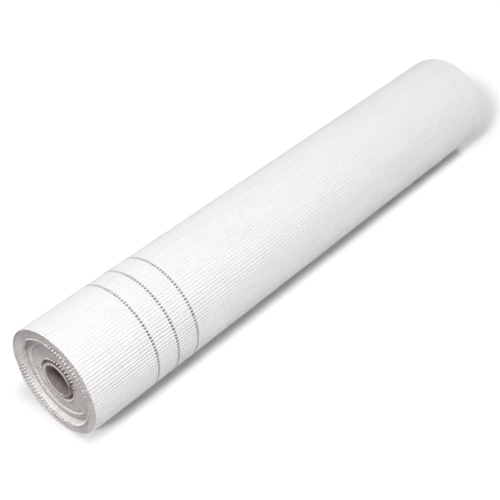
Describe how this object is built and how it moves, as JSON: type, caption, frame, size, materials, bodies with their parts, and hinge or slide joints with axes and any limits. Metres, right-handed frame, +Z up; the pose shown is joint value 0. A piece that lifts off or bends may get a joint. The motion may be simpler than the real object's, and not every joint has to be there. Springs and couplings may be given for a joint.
{
  "type": "fiberglass mesh roll",
  "caption": "Roll of open white fiberglass mesh for reinforcing plaster, wound on a cardboard tube, with dark marker yarns near one edge and turns slipped along the tube.",
  "frame": {"origin": "on the floor, below the middle of the roll's overall length and on its axis plane", "axes": "+X along the roll's axis, away from the end with the marker yarns; +Z up; +Y to the left of someone who looks along +X"},
  "size_m": [1.0114, 0.181, 0.181],
  "materials": {
    "glass_mesh": "white coated glass yarns in an open 5 mm weave, matt with a slight sheen, cut ends fuzzy",
    "cardboard_tube": "spiral-wound greyish pink-brown paper tube, matt, paler on its cut ends",
    "marker_yarn": "dark grey dyed glass yarn, matt"
  },
  "bodies": {
    "root": {"core_tube": "cardboard_tube", "mesh_roll": "glass_mesh", "marker_yarn_1": "marker_yarn", "marker_yarn_2": "marker_yarn", "marker_yarn_3": "marker_yarn"}
  },
  "joints": []
}
